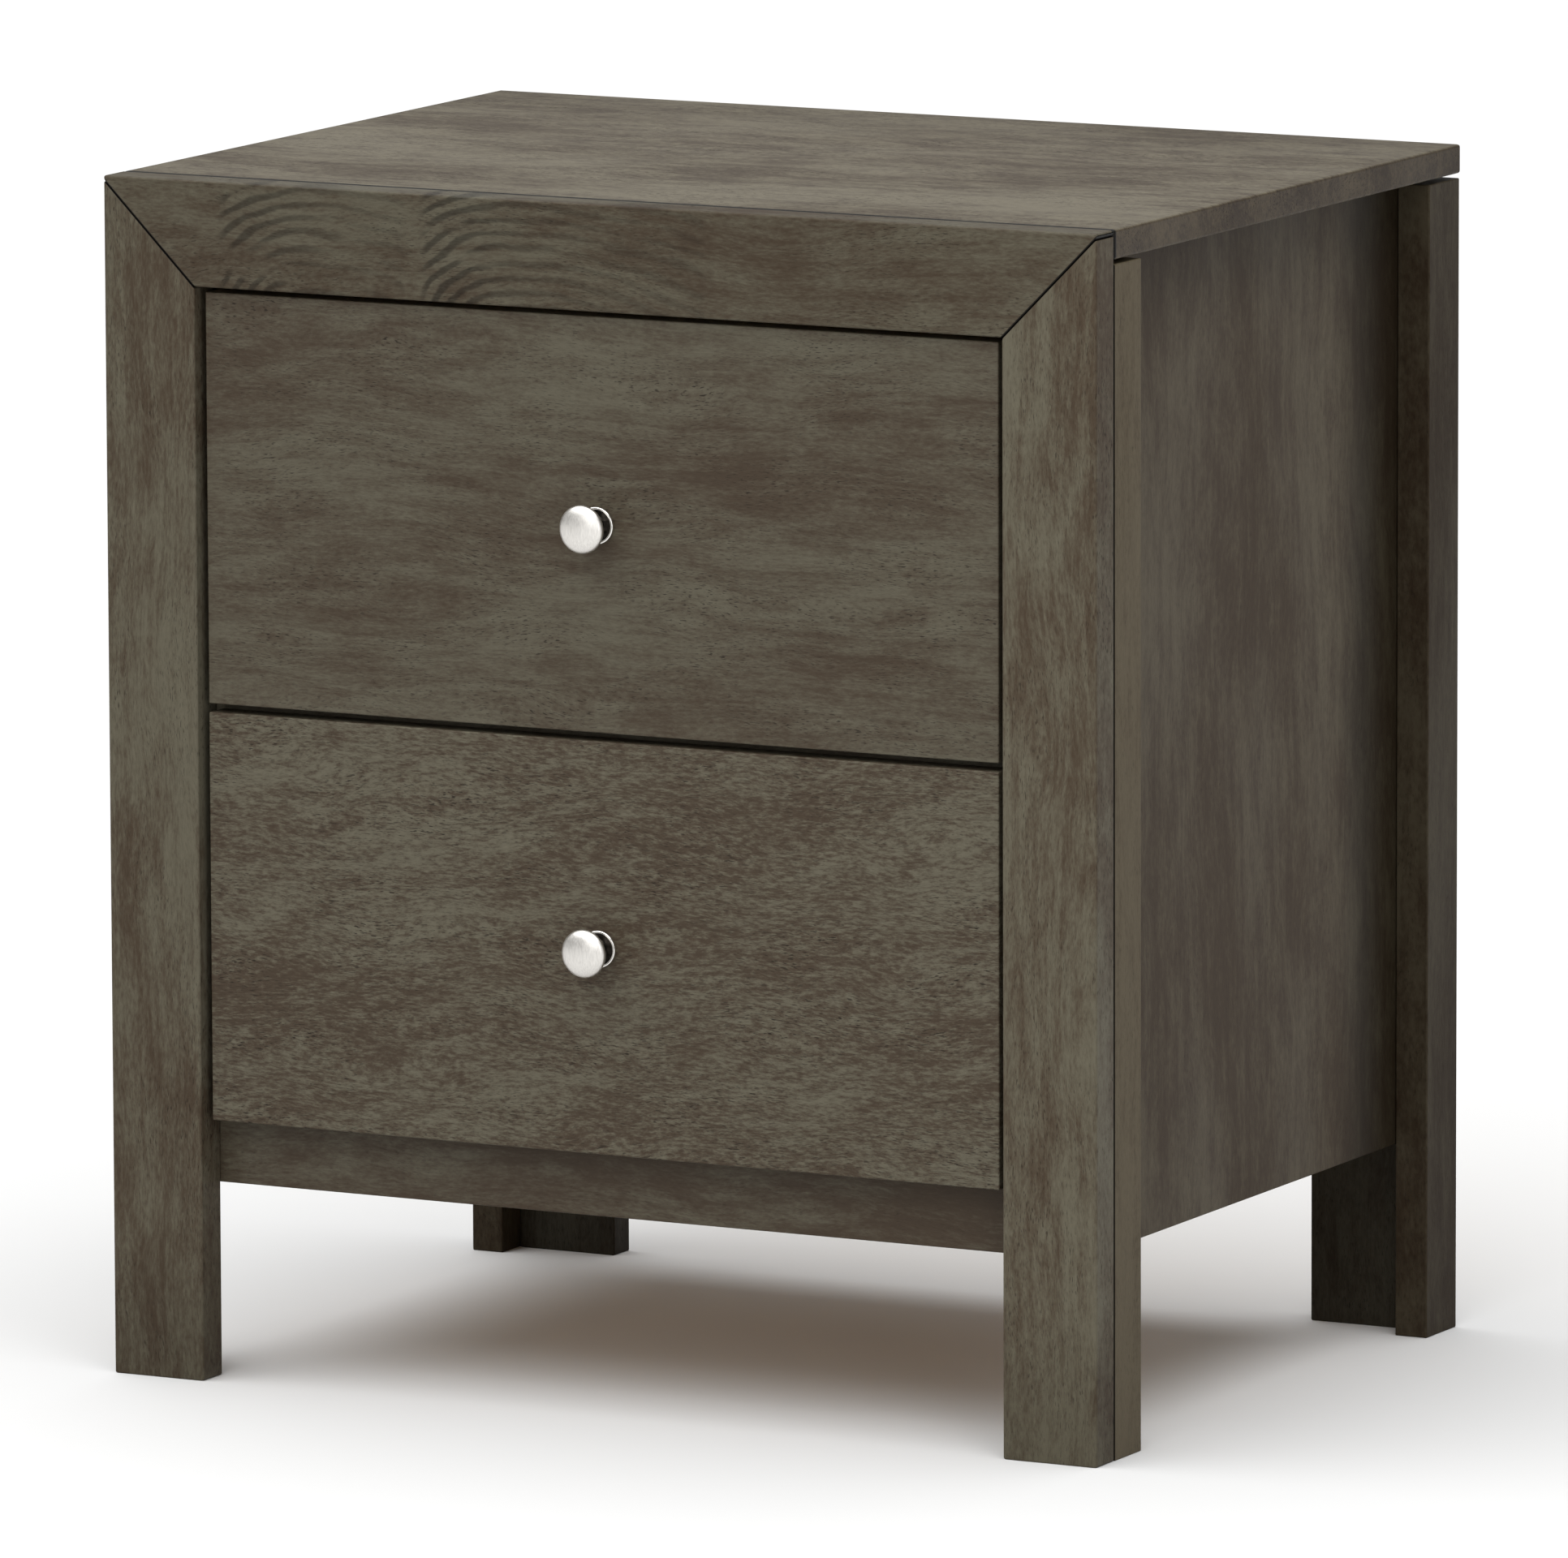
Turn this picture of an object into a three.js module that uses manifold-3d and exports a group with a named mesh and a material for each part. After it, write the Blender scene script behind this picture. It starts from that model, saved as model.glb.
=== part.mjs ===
// Two-drawer nightstand. Millimetres, +Z up, the drawers open towards -Y, +X is the right-hand side.
// The origin is on the floor, under the centre of the whole object, knobs included.
import * as THREE from "three";
import { mergeVertices } from "three/addons/utils/BufferGeometryUtils.js";
import Module from "manifold-3d";

const wasm = await Module();
wasm.setup();

// ---------------------------------------------------------------- driving dimensions
// The whole object
const WIDTH = 560; // across the legs
const DEPTH = 420; // front of the face frame to the back edge of the top
const HEIGHT = 616;
const SEAM = 0.3; // left between two boards that are glued or screwed together
const CUT_PAST = 1; // a piece that cuts, or that is joined on, runs this far past the face it meets

// Face frame
const FRAME_THICK = 20;
const STILE_WIDE = 52;
const RAIL_HIGH = 54;
const MITRE_DROP = 2; // the outer end of each mitre is this far below the top
const MITRE_OPEN = 0.6; // upright width of the open mitre line

// Case
const TOP_THICK = 15;
const TOP_OVERHANG_BACK = 1.5; // the top reaches this far past the rear legs
const POST_SHADOW_GAP = 2.2; // under the top, above the posts
const POST_THICK = 18;
const FRONT_POST_DEEP = 30;
const REAR_POST_DEEP = 36;
const LEG_BOARD_THICK = 17;
const LEG_BOARD_WIDE = 57;
const SIDE_THICK = 12;
const FLOOR_CLEARANCE = 100; // under the sides, the apron and the back
const BACK_THICK = 5;
const BACK_REBATE = 6; // how far the back panel reaches into each side panel
const RAIL_THICK = 18; // apron, stretchers and rear rail
const APRON_SHOWN = 34.8; // below the lower drawer front
const RAIL_LAP = 15.2; // the apron and the divider stand this far up behind a drawer front
const STRETCHER_HIGH = 40;
const DIVIDER_HIGH = 32;
const DIVIDER_DEEP = 40;
const DUST_PANEL_THICK = 4;
const DUST_PANEL_UP = 12; // underside of the dust panel above the apron's lower edge
const GROOVE_DEEP = 6;
const GLUE_BLOCK_LEG = 34;

// Drawer fronts. Two of one height fill what the apron and the gaps leave of the opening.
const DRAWER_FRONT_THICK = 15;
const DRAWER_RECESS = 4.4; // behind the face frame
const DRAWER_SIDE_GAP = 4; // between a drawer front and each stile
const DRAWER_TOP_GAP = 2.8; // between the upper drawer front and the rail
const DRAWER_BETWEEN_GAP = 4.4;

// Drawer boxes
const BOX_BOARD = 12;
const BOX_OVER_RAIL = 4.8; // from the apron or divider up to the box
const BOX_UNDER_RAIL = 17.6; // from the box up to the divider above it
const BOX_BACK_ROOM = 21.5; // behind the box, to the back panel
const BOX_BOTTOM_THICK = 5;
const BOX_BOTTOM_UP = 10; // underside of the bottom panel above the box's lower edge
const TAILS = 4; // dovetails at each corner
const TAIL_SHARE = 0.62; // of each dovetail's pitch at its wide end
const TAIL_SLOPE = 1 / 7;

// Slides: three nested steel channels, drawn across the slide from the case (0) to the drawer
const SLIDE_WIDE = 12.7;
const SLIDE_SET_BACK = 2; // behind the face frame
const SLIDE_SHORT = 2.7; // of the box's back
const SLIDE_UP = 60; // centre line above the box's lower edge
const SLIDE_STEEL = 1.2;
const SLIDE_CASE_HIGH = 45;
const SLIDE_BALL_ROOM = 4.3; // between two members' flanges
const SLIDE_WEB_ROOM = 1.2; // between the webs of the case and middle members
const SLIDE_FLANGE_ROOM = 1; // between a flange's edge and the drawer member's web
const SLIDE_DRAWER_ROOM = 1.5; // between the drawer member's flanges and the middle member's web
const CLEAT_MARGIN = 2.5; // of a cleat above and below its slide

// Knobs
const KNOB_HEAD_RADIUS = 12.2;
const KNOB_BASE_RADIUS = 9.5;
const KNOB_BASE_THICK = 2;
const KNOB_BASE_BEVEL = 1;
const KNOB_NECK_RADIUS = 4.3;
const KNOB_FLARE_OUT = 10.5; // where the neck starts to widen, from the drawer front
const KNOB_RIM_OUT = 17; // widest part of the head, from the drawer front
const KNOB_RIM_THICK = 0.9;
const KNOB_DOME = 4.6; // crown of the head beyond its rim
const KNOB_SCREW_RADIUS = 2;
const KNOB_SCREW_BITE = 9; // how far the screw reaches into the neck
const SCREW_HEAD_RADIUS = 4.2;
const SCREW_HEAD_THICK = 2.4;
const SCREW_ROOM = 0.4; // round the screw in every hole
const ROUND = 32; // sides of a turned piece
const CURVE_STEPS = 6; // along each curve of a turned profile
const HOLE_ROUND = 16;

// ---------------------------------------------------------------- places worked out from them
const halfWidth = WIDTH / 2;
const knobReach = SEAM + KNOB_RIM_OUT + KNOB_DOME;
const knobProud = knobReach - DRAWER_RECESS; // of the face frame
const frontY = knobProud - (DEPTH + knobProud) / 2;
const backY = frontY + DEPTH;
const behindFrameY = frontY + FRAME_THICK + SEAM;
const legBackY = backY - TOP_OVERHANG_BACK;
const legBoardFrontY = legBackY - LEG_BOARD_THICK;
const sideBackY = legBoardFrontY - SEAM;
const backPanelFrontY = sideBackY - BACK_THICK;
const underTop = HEIGHT - TOP_THICK;
const postTop = underTop - POST_SHADOW_GAP;
const caseTop = underTop - SEAM;
const openingHalf = halfWidth - STILE_WIDE;
const openingTop = HEIGHT - RAIL_HIGH;
const sideOuterX = halfWidth - POST_THICK - SEAM;
const sideInnerX = sideOuterX - SIDE_THICK;
const railHalf = sideInnerX - SEAM;
const rearRailBackY = backPanelFrontY - SEAM;
const rearRailFrontY = rearRailBackY - RAIL_THICK;
const apronBackY = behindFrameY + RAIL_THICK;
const bottomRailTop = FLOOR_CLEARANCE + APRON_SHOWN + RAIL_LAP;
const dustPanelZ = FLOOR_CLEARANCE + DUST_PANEL_UP;

const drawerHalf = openingHalf - DRAWER_SIDE_GAP;
const drawerFaceY = frontY + DRAWER_RECESS;
const drawerRearY = drawerFaceY + DRAWER_FRONT_THICK;
const boxFrontY = drawerRearY + SEAM;
const boxBackY = backPanelFrontY - BOX_BACK_ROOM;
const boxHalf = openingHalf - SLIDE_WIDE - 2 * SEAM;
const slideFrontY = frontY + FRAME_THICK + SLIDE_SET_BACK;
const slideBackY = boxBackY - SLIDE_SHORT;

const lowerFrontZ = FLOOR_CLEARANCE + APRON_SHOWN;
const drawerFrontHigh = (openingTop - DRAWER_TOP_GAP - DRAWER_BETWEEN_GAP - lowerFrontZ) / 2;
const upperFrontZ = lowerFrontZ + drawerFrontHigh + DRAWER_BETWEEN_GAP;
const dividerTop = upperFrontZ + RAIL_LAP;
const dividerUnder = dividerTop - DIVIDER_HIGH;
const boxUp = RAIL_LAP + BOX_OVER_RAIL; // above the drawer front's lower edge
const boxHigh = dividerUnder - BOX_UNDER_RAIL - (lowerFrontZ + boxUp);

// ---------------------------------------------------------------- materials
const stain = new THREE.MeshStandardMaterial({ color: 0x575245, roughness: 0.55, metalness: 0 });
const drawerWood = new THREE.MeshStandardMaterial({ color: 0xb99a6f, roughness: 0.6, metalness: 0 });
const plywood = new THREE.MeshStandardMaterial({ color: 0xa98c64, roughness: 0.7, metalness: 0 });
const slideSteel = new THREE.MeshStandardMaterial({ color: 0xb9bcc0, roughness: 0.35, metalness: 1 });
const satinNickel = new THREE.MeshStandardMaterial({ color: 0xd8d6d0, roughness: 0.3, metalness: 1 });
const brightNickel = new THREE.MeshStandardMaterial({ color: 0xdedede, roughness: 0.08, metalness: 1 });

// ---------------------------------------------------------------- solids
const nightstand = new THREE.Group();

// A closed three.js geometry as a solid that can be cut and joined.
function solidOf(geometry) {
  const bare = geometry.clone();
  bare.deleteAttribute("normal");
  bare.deleteAttribute("uv");
  const merged = mergeVertices(bare, 1e-3);
  const vertProperties = new Float32Array(merged.attributes.position.array);
  const triVerts = new Uint32Array(merged.index.array);
  return new wasm.Manifold(new wasm.Mesh({ numProp: 3, vertProperties, triVerts }));
}

function geometryOf(solid) {
  const mesh = solid.getMesh();
  const geometry = new THREE.BufferGeometry();
  geometry.setAttribute("position", new THREE.BufferAttribute(mesh.vertProperties, 3));
  geometry.setIndex(new THREE.BufferAttribute(mesh.triVerts, 1));
  geometry.computeVertexNormals();
  return geometry;
}

function add(name, geometry, material) {
  const mesh = new THREE.Mesh(geometry, material);
  mesh.name = name;
  nightstand.add(mesh);
  return mesh;
}

// A box between two values on each axis, given in either order.
function block(x0, x1, y0, y1, z0, z1) {
  const size = [Math.abs(x1 - x0), Math.abs(y1 - y0), Math.abs(z1 - z0)];
  const middle = [(x0 + x1) / 2, (y0 + y1) / 2, (z0 + z1) / 2];
  return new THREE.BoxGeometry(...size).translate(...middle);
}

// An outline in X and Z, as a plate from y0 to y1.
function plateXZ(points, y0, y1) {
  const shape = new THREE.Shape(points.map(([x, z]) => new THREE.Vector2(x, z)));
  const geometry = new THREE.ExtrudeGeometry(shape, { depth: y1 - y0, bevelEnabled: false });
  return geometry.rotateX(Math.PI / 2).translate(0, y1, 0);
}

// An outline in X and Y, as a block from z0 to z1.
function plateXY(points, z0, z1) {
  const shape = new THREE.Shape(points.map(([x, y]) => new THREE.Vector2(x, y)));
  const geometry = new THREE.ExtrudeGeometry(shape, { depth: z1 - z0, bevelEnabled: false });
  return geometry.translate(0, 0, z0);
}

// An outline in Y and Z, as a block from x0 to x1 (x0 < x1).
function plateYZ(points, x0, x1) {
  const shape = new THREE.Shape(points.map(([y, z]) => new THREE.Vector2(y, z)));
  const geometry = new THREE.ExtrudeGeometry(shape, { depth: x1 - x0, bevelEnabled: false });
  return geometry.rotateY(Math.PI / 2).rotateX(Math.PI / 2).translate(x0, 0, 0);
}

// A round bar along Y between y0 and y1, centred on (x, z).
function barY(radius, x, z, y0, y1, sides) {
  return new THREE.CylinderGeometry(radius, radius, y1 - y0, sides).translate(x, (y0 + y1) / 2, z);
}

function cut(geometry, ...cutters) {
  return geometryOf(cutters.reduce((body, tool) => body.subtract(solidOf(tool)), solidOf(geometry)));
}

const sides = [
  ["left", -1],
  ["right", 1],
];

// ---------------------------------------------------------------- face frame
function faceFrame() {
  const rail = [
    [-openingHalf, openingTop],
    [openingHalf, openingTop],
    [halfWidth, HEIGHT - MITRE_DROP],
    [halfWidth, HEIGHT],
    [-halfWidth, HEIGHT],
    [-halfWidth, HEIGHT - MITRE_DROP],
  ];
  add("face_frame_top_rail", plateXZ(rail, frontY, frontY + FRAME_THICK), stain);
  for (const [side, s] of sides) {
    const stile = [
      [s * halfWidth, 0],
      [s * openingHalf, 0],
      [s * openingHalf, openingTop - MITRE_OPEN],
      [s * halfWidth, HEIGHT - MITRE_DROP - MITRE_OPEN],
    ];
    add(`face_frame_${side}_stile`, plateXZ(stile, frontY, frontY + FRAME_THICK), stain);
  }
}

// ---------------------------------------------------------------- legs, sides and top
function posts() {
  for (const [side, s] of sides) {
    const outer = s * halfWidth;
    const inner = s * (halfWidth - POST_THICK);
    const front = block(outer, inner, behindFrameY, behindFrameY + FRONT_POST_DEEP, 0, postTop);
    const rear = block(outer, inner, legBackY - REAR_POST_DEEP, legBackY, 0, postTop);
    const boardX = s * sideOuterX;
    const boardInX = s * (sideOuterX - LEG_BOARD_WIDE);
    const board = block(boardX, boardInX, legBoardFrontY, legBackY, 0, postTop);
    add(`front_${side}_post`, front, stain);
    add(`rear_${side}_post`, rear, stain);
    add(`rear_${side}_leg_back_board`, board, stain);
  }
}

function caseShell() {
  for (const [side, s] of sides) {
    const panel = block(
      s * sideOuterX, s * sideInnerX, behindFrameY, sideBackY, FLOOR_CLEARANCE, caseTop,
    );
    const rebate = block(
      s * (sideInnerX + BACK_REBATE), s * (sideInnerX - CUT_PAST),
      backPanelFrontY - SEAM, sideBackY + CUT_PAST,
      FLOOR_CLEARANCE - CUT_PAST, caseTop + CUT_PAST,
    );
    add(`${side}_side_panel`, cut(panel, rebate), stain);
  }
  const top = block(-halfWidth, halfWidth, behindFrameY, backY, underTop, HEIGHT);
  add("top_panel", top, stain);
  const backHalf = sideInnerX + BACK_REBATE - SEAM;
  const back = block(-backHalf, backHalf, backPanelFrontY, sideBackY, FLOOR_CLEARANCE, caseTop);
  add("back_panel", back, plywood);
}

// ---------------------------------------------------------------- rails inside the case
function rails() {
  const grooveHalf = railHalf + CUT_PAST;
  const grooveTop = dustPanelZ + DUST_PANEL_THICK + SEAM;
  const groove = (y0, y1) => block(-grooveHalf, grooveHalf, y0, y1, dustPanelZ - SEAM, grooveTop);
  const rail = (y0, y1) => block(-railHalf, railHalf, y0, y1, FLOOR_CLEARANCE, bottomRailTop);
  const apron = rail(behindFrameY, apronBackY);
  add("front_apron", cut(apron, groove(apronBackY - GROOVE_DEEP, apronBackY + CUT_PAST)), stain);
  const rear = rail(rearRailFrontY, rearRailBackY);
  const rearGroove = groove(rearRailFrontY - CUT_PAST, rearRailFrontY + GROOVE_DEEP);
  add("rear_bottom_rail", cut(rear, rearGroove), plywood);

  const dust = block(
    -railHalf, railHalf,
    apronBackY - GROOVE_DEEP + SEAM, rearRailFrontY + GROOVE_DEEP - SEAM,
    dustPanelZ, dustPanelZ + DUST_PANEL_THICK,
  );
  add("bottom_dust_panel", dust, plywood);

  const stretcherZ = caseTop - STRETCHER_HIGH;
  const frontStretcher = block(-railHalf, railHalf, behindFrameY, apronBackY, stretcherZ, caseTop);
  const rearStretcher = block(-railHalf, railHalf, rearRailFrontY, rearRailBackY, stretcherZ, caseTop);
  add("top_front_stretcher", frontStretcher, plywood);
  add("top_rear_stretcher", rearStretcher, plywood);

  const divider = block(
    -railHalf, railHalf, behindFrameY, behindFrameY + DIVIDER_DEEP, dividerUnder, dividerTop,
  );
  add("drawer_divider_rail", divider, stain);
}

// Triangular blocks in the bottom corners, on the dust panel.
function glueBlocks() {
  const z0 = dustPanelZ + DUST_PANEL_THICK + SEAM;
  const corners = [
    ["front", apronBackY + SEAM, 1],
    ["rear", rearRailFrontY - SEAM, -1],
  ];
  for (const [end, y, away] of corners) {
    for (const [side, s] of sides) {
      const triangle = [
        [s * railHalf, y],
        [s * (railHalf - GLUE_BLOCK_LEG), y],
        [s * railHalf, y + away * GLUE_BLOCK_LEG],
      ];
      add(`${end}_${side}_glue_block`, plateXY(triangle, z0, bottomRailTop), plywood);
    }
  }
}

// ---------------------------------------------------------------- slides
// A channel: its web stands at `web`, and its flanges run from there to `reach`, both measured
// across the slide from the case side.
function channel(s, web, reach, high, midZ) {
  const across = (u) => s * (openingHalf - SEAM - u);
  const inward = Math.sign(reach - web);
  const webIn = across(web + inward * SLIDE_STEEL);
  const h = high / 2;
  const t = SLIDE_STEEL;
  const outline = [
    [across(web), midZ - h],
    [across(reach), midZ - h],
    [across(reach), midZ - h + t],
    [webIn, midZ - h + t],
    [webIn, midZ + h - t],
    [across(reach), midZ + h - t],
    [across(reach), midZ + h],
    [across(web), midZ + h],
  ];
  return plateXZ(outline, slideFrontY, slideBackY);
}

function slides(drawer, boxZ) {
  const midZ = boxZ + SLIDE_UP;
  const cleatHalf = SLIDE_CASE_HIGH / 2 + CLEAT_MARGIN;
  const nest = 2 * (SLIDE_STEEL + SLIDE_BALL_ROOM);
  const middleHigh = SLIDE_CASE_HIGH - nest;
  const middleWeb = SLIDE_STEEL + SLIDE_WEB_ROOM;
  const flangeReach = SLIDE_WIDE - SLIDE_STEEL - SLIDE_FLANGE_ROOM;
  const drawerReach = middleWeb + SLIDE_STEEL + SLIDE_DRAWER_ROOM;
  for (const [side, s] of sides) {
    const name = `${drawer}_${side}_slide`;
    const cleat = block(
      s * openingHalf, s * railHalf, behindFrameY, rearRailBackY, midZ - cleatHalf, midZ + cleatHalf,
    );
    const caseMember = channel(s, 0, flangeReach, SLIDE_CASE_HIGH, midZ);
    const middleMember = channel(s, middleWeb, flangeReach, middleHigh, midZ);
    const drawerMember = channel(s, SLIDE_WIDE, drawerReach, middleHigh - nest, midZ);
    add(`${name}_cleat`, cleat, plywood);
    add(`${name}_case_member`, caseMember, slideSteel);
    add(`${name}_middle_member`, middleMember, slideSteel);
    add(`${name}_drawer_member`, drawerMember, slideSteel);
  }
}

// ---------------------------------------------------------------- drawer boxes
// The dovetails at one end of a box side, from its shoulder to the end of the board. They are
// widest at the end. `room` widens them for cutting the board that they fit.
function tails(x0, x1, shoulderY, endY, z0, room) {
  const out = Math.sign(endY - shoulderY);
  const pitch = boxHigh / TAILS;
  const wide = (pitch * TAIL_SHARE) / 2 + room;
  const narrow = wide - BOX_BOARD * TAIL_SLOPE;
  return Array.from({ length: TAILS }, (_, i) => {
    const z = z0 + pitch * (i + 0.5);
    const inside = shoulderY - out * CUT_PAST;
    const beyond = endY + out * room;
    const outline = [
      [inside, z - narrow],
      [beyond, z - wide],
      [beyond, z + wide],
      [inside, z + narrow],
    ];
    return plateYZ(outline, x0 - room, x1 + room);
  });
}

function drawerBox(drawer, boxZ) {
  const top = boxZ + boxHigh;
  const innerHalf = boxHalf - BOX_BOARD;
  const innerFrontY = boxFrontY + BOX_BOARD;
  const innerBackY = boxBackY - BOX_BOARD;
  const ends = [
    ["front", innerFrontY, boxFrontY],
    ["back", innerBackY, boxBackY],
  ];
  const panelZ = boxZ + BOX_BOTTOM_UP;
  const reach = GROOVE_DEEP - SEAM;
  const groove = block(
    -innerHalf - GROOVE_DEEP, innerHalf + GROOVE_DEEP,
    innerFrontY - GROOVE_DEEP, innerBackY + GROOVE_DEEP,
    panelZ - SEAM, panelZ + BOX_BOTTOM_THICK + SEAM,
  );

  for (const [side, s] of sides) {
    const x0 = Math.min(s * innerHalf, s * boxHalf);
    const x1 = Math.max(s * innerHalf, s * boxHalf);
    let body = solidOf(block(x0, x1, innerFrontY + SEAM, innerBackY - SEAM, boxZ, top));
    for (const [, shoulderY, endY] of ends) {
      const inwards = Math.sign(shoulderY - endY);
      for (const tail of tails(x0, x1, shoulderY + inwards * SEAM, endY, boxZ, 0)) {
        body = body.add(solidOf(tail));
      }
    }
    const sideBoard = geometryOf(body.subtract(solidOf(groove)));
    add(`${drawer}_drawer_${side}_side`, sideBoard, drawerWood);
  }

  const midZ = boxZ - boxUp + drawerFrontHigh / 2;
  const screwHole = barY(
    KNOB_SCREW_RADIUS + SCREW_ROOM, 0, midZ,
    boxFrontY - CUT_PAST, innerFrontY + CUT_PAST, HOLE_ROUND,
  );
  for (const [end, shoulderY, endY] of ends) {
    const board = block(-boxHalf, boxHalf, shoulderY, endY, boxZ, top);
    const sockets = sides.flatMap(([, s]) => {
      const x0 = Math.min(s * innerHalf, s * boxHalf);
      const x1 = Math.max(s * innerHalf, s * boxHalf);
      return tails(x0, x1, shoulderY, endY, boxZ, SEAM);
    });
    const holes = end === "front" ? [screwHole] : [];
    add(`${drawer}_drawer_box_${end}`, cut(board, groove, ...sockets, ...holes), drawerWood);
  }

  const bottom = block(
    -innerHalf - reach, innerHalf + reach, innerFrontY - reach, innerBackY + reach,
    panelZ, panelZ + BOX_BOTTOM_THICK,
  );
  add(`${drawer}_drawer_bottom`, bottom, plywood);
}

// ---------------------------------------------------------------- drawer fronts and knobs
// A turned piece on an axis along Y. Its profile is given as [radius, distance out from faceY].
function turned(profile, faceY, midZ) {
  const points = profile.map(([r, out]) => new THREE.Vector2(r, out));
  return new THREE.LatheGeometry(points, ROUND).rotateX(Math.PI).translate(0, faceY, midZ);
}

// A quarter of an ellipse from one [radius, distance out] to another. It leaves the first straight
// out and reaches the second along the radius.
function quarter([r0, out0], [r1, out1]) {
  return Array.from({ length: CURVE_STEPS + 1 }, (_, i) => {
    const angle = (i / CURVE_STEPS) * (Math.PI / 2);
    return [r1 + (r0 - r1) * Math.cos(angle), out0 + (out1 - out0) * Math.sin(angle)];
  });
}

function knob(drawer, midZ) {
  const hole = KNOB_SCREW_RADIUS + SCREW_ROOM;
  const base = [
    [hole, 0],
    [KNOB_BASE_RADIUS, 0],
    [KNOB_BASE_RADIUS, KNOB_BASE_THICK - KNOB_BASE_BEVEL],
    [KNOB_BASE_RADIUS - KNOB_BASE_BEVEL, KNOB_BASE_THICK],
    [hole, KNOB_BASE_THICK],
    [hole, 0],
  ];
  add(`${drawer}_knob_base`, turned(base, drawerFaceY - SEAM, midZ), brightNickel);

  const neckStart = KNOB_BASE_THICK + SEAM;
  const boreEnd = neckStart + KNOB_SCREW_BITE + SCREW_ROOM;
  const rimUnder = [KNOB_HEAD_RADIUS, KNOB_RIM_OUT - KNOB_RIM_THICK];
  const dome = quarter([KNOB_HEAD_RADIUS, KNOB_RIM_OUT], [0, KNOB_RIM_OUT + KNOB_DOME]);
  dome.at(-1)[0] = 0;
  const head = [
    [0, boreEnd],
    [hole, boreEnd],
    [hole, neckStart],
    [KNOB_NECK_RADIUS, neckStart],
    ...quarter([KNOB_NECK_RADIUS, KNOB_FLARE_OUT], rimUnder),
    ...dome,
  ];
  add(`${drawer}_knob_head`, turned(head, drawerFaceY - SEAM, midZ), satinNickel);

  const screwInY = boxFrontY + BOX_BOARD + SEAM;
  const screwTipY = drawerFaceY - SEAM - neckStart - KNOB_SCREW_BITE;
  const shank = barY(KNOB_SCREW_RADIUS, 0, midZ, screwTipY, screwInY + CUT_PAST, HOLE_ROUND);
  const screwHead = barY(SCREW_HEAD_RADIUS, 0, midZ, screwInY, screwInY + SCREW_HEAD_THICK, ROUND);
  const screw = geometryOf(solidOf(shank).add(solidOf(screwHead)));
  add(`${drawer}_knob_screw`, screw, slideSteel);
}

function drawer(name, frontZ) {
  const midZ = frontZ + drawerFrontHigh / 2;
  const board = block(
    -drawerHalf, drawerHalf, drawerFaceY, drawerRearY, frontZ, frontZ + drawerFrontHigh,
  );
  const hole = barY(
    KNOB_SCREW_RADIUS + SCREW_ROOM, 0, midZ,
    drawerFaceY - CUT_PAST, drawerRearY + CUT_PAST, HOLE_ROUND,
  );
  add(`${name}_drawer_front`, cut(board, hole), stain);
  knob(name, midZ);
  drawerBox(name, frontZ + boxUp);
  slides(name, frontZ + boxUp);
}

faceFrame();
posts();
caseShell();
rails();
glueBlocks();
drawer("upper", upperFrontZ);
drawer("lower", lowerFrontZ);

export default nightstand;
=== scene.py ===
"""Looks of the two-drawer nightstand: stained wood, pale drawer boxes, steel slides and nickel knobs.

Places are in metres in the part's own frame: +Z up, the drawers open towards -Y. The materials' own
coordinates, the knobs' profiles and the places of the small hardware are in millimetres.
"""
import math

import bmesh
import bpy
from mathutils import Matrix, Vector


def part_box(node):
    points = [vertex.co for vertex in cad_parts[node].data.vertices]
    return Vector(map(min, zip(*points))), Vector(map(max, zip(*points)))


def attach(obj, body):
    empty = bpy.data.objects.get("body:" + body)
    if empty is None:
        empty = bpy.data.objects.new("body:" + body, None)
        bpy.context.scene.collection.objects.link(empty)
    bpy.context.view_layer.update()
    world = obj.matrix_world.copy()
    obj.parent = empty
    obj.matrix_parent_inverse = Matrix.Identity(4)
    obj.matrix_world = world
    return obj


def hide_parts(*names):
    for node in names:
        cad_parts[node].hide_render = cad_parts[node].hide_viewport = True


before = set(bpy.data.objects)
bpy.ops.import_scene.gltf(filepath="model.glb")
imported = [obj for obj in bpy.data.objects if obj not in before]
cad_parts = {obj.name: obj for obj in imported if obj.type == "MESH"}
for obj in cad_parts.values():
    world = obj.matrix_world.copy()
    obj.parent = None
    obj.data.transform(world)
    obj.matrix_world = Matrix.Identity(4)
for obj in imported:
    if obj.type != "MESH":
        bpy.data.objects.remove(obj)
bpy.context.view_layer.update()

MM = 0.001
SIDES = {"left": -1, "right": 1}
DRAWERS = ("upper", "lower")
scene = bpy.context.scene

# ---------------------------------------------------------------- camera
CAMERA_AZIMUTH = math.radians(27.509)
CAMERA_ELEVATION = math.radians(8.915)
CAMERA_ROLL = math.radians(-0.194)
CAMERA_LENS = 380.2  # mm
CAMERA_SENSOR = 36  # mm wide
CAMERA_REACH = 5000  # far enough to see the whole floor
CAMERA_FROM_CORNER = Vector((4.144, -7.215, 1.610))  # from the face frame's lower left corner


def make_camera():
    data = bpy.data.cameras.new("camera")
    data.lens = CAMERA_LENS
    data.sensor_width = CAMERA_SENSOR
    data.clip_end = CAMERA_REACH
    camera = bpy.data.objects.new("camera", data)
    scene.collection.objects.link(camera)
    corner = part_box("face_frame_left_stile")[0]
    turn = Matrix.Rotation(CAMERA_AZIMUTH, 4, "Z")
    tilt = Matrix.Rotation(math.pi / 2 - CAMERA_ELEVATION, 4, "X")
    roll = Matrix.Rotation(CAMERA_ROLL, 4, "Z")
    camera.matrix_world = Matrix.Translation(corner + CAMERA_FROM_CORNER) @ turn @ tilt @ roll
    scene.camera = camera


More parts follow.
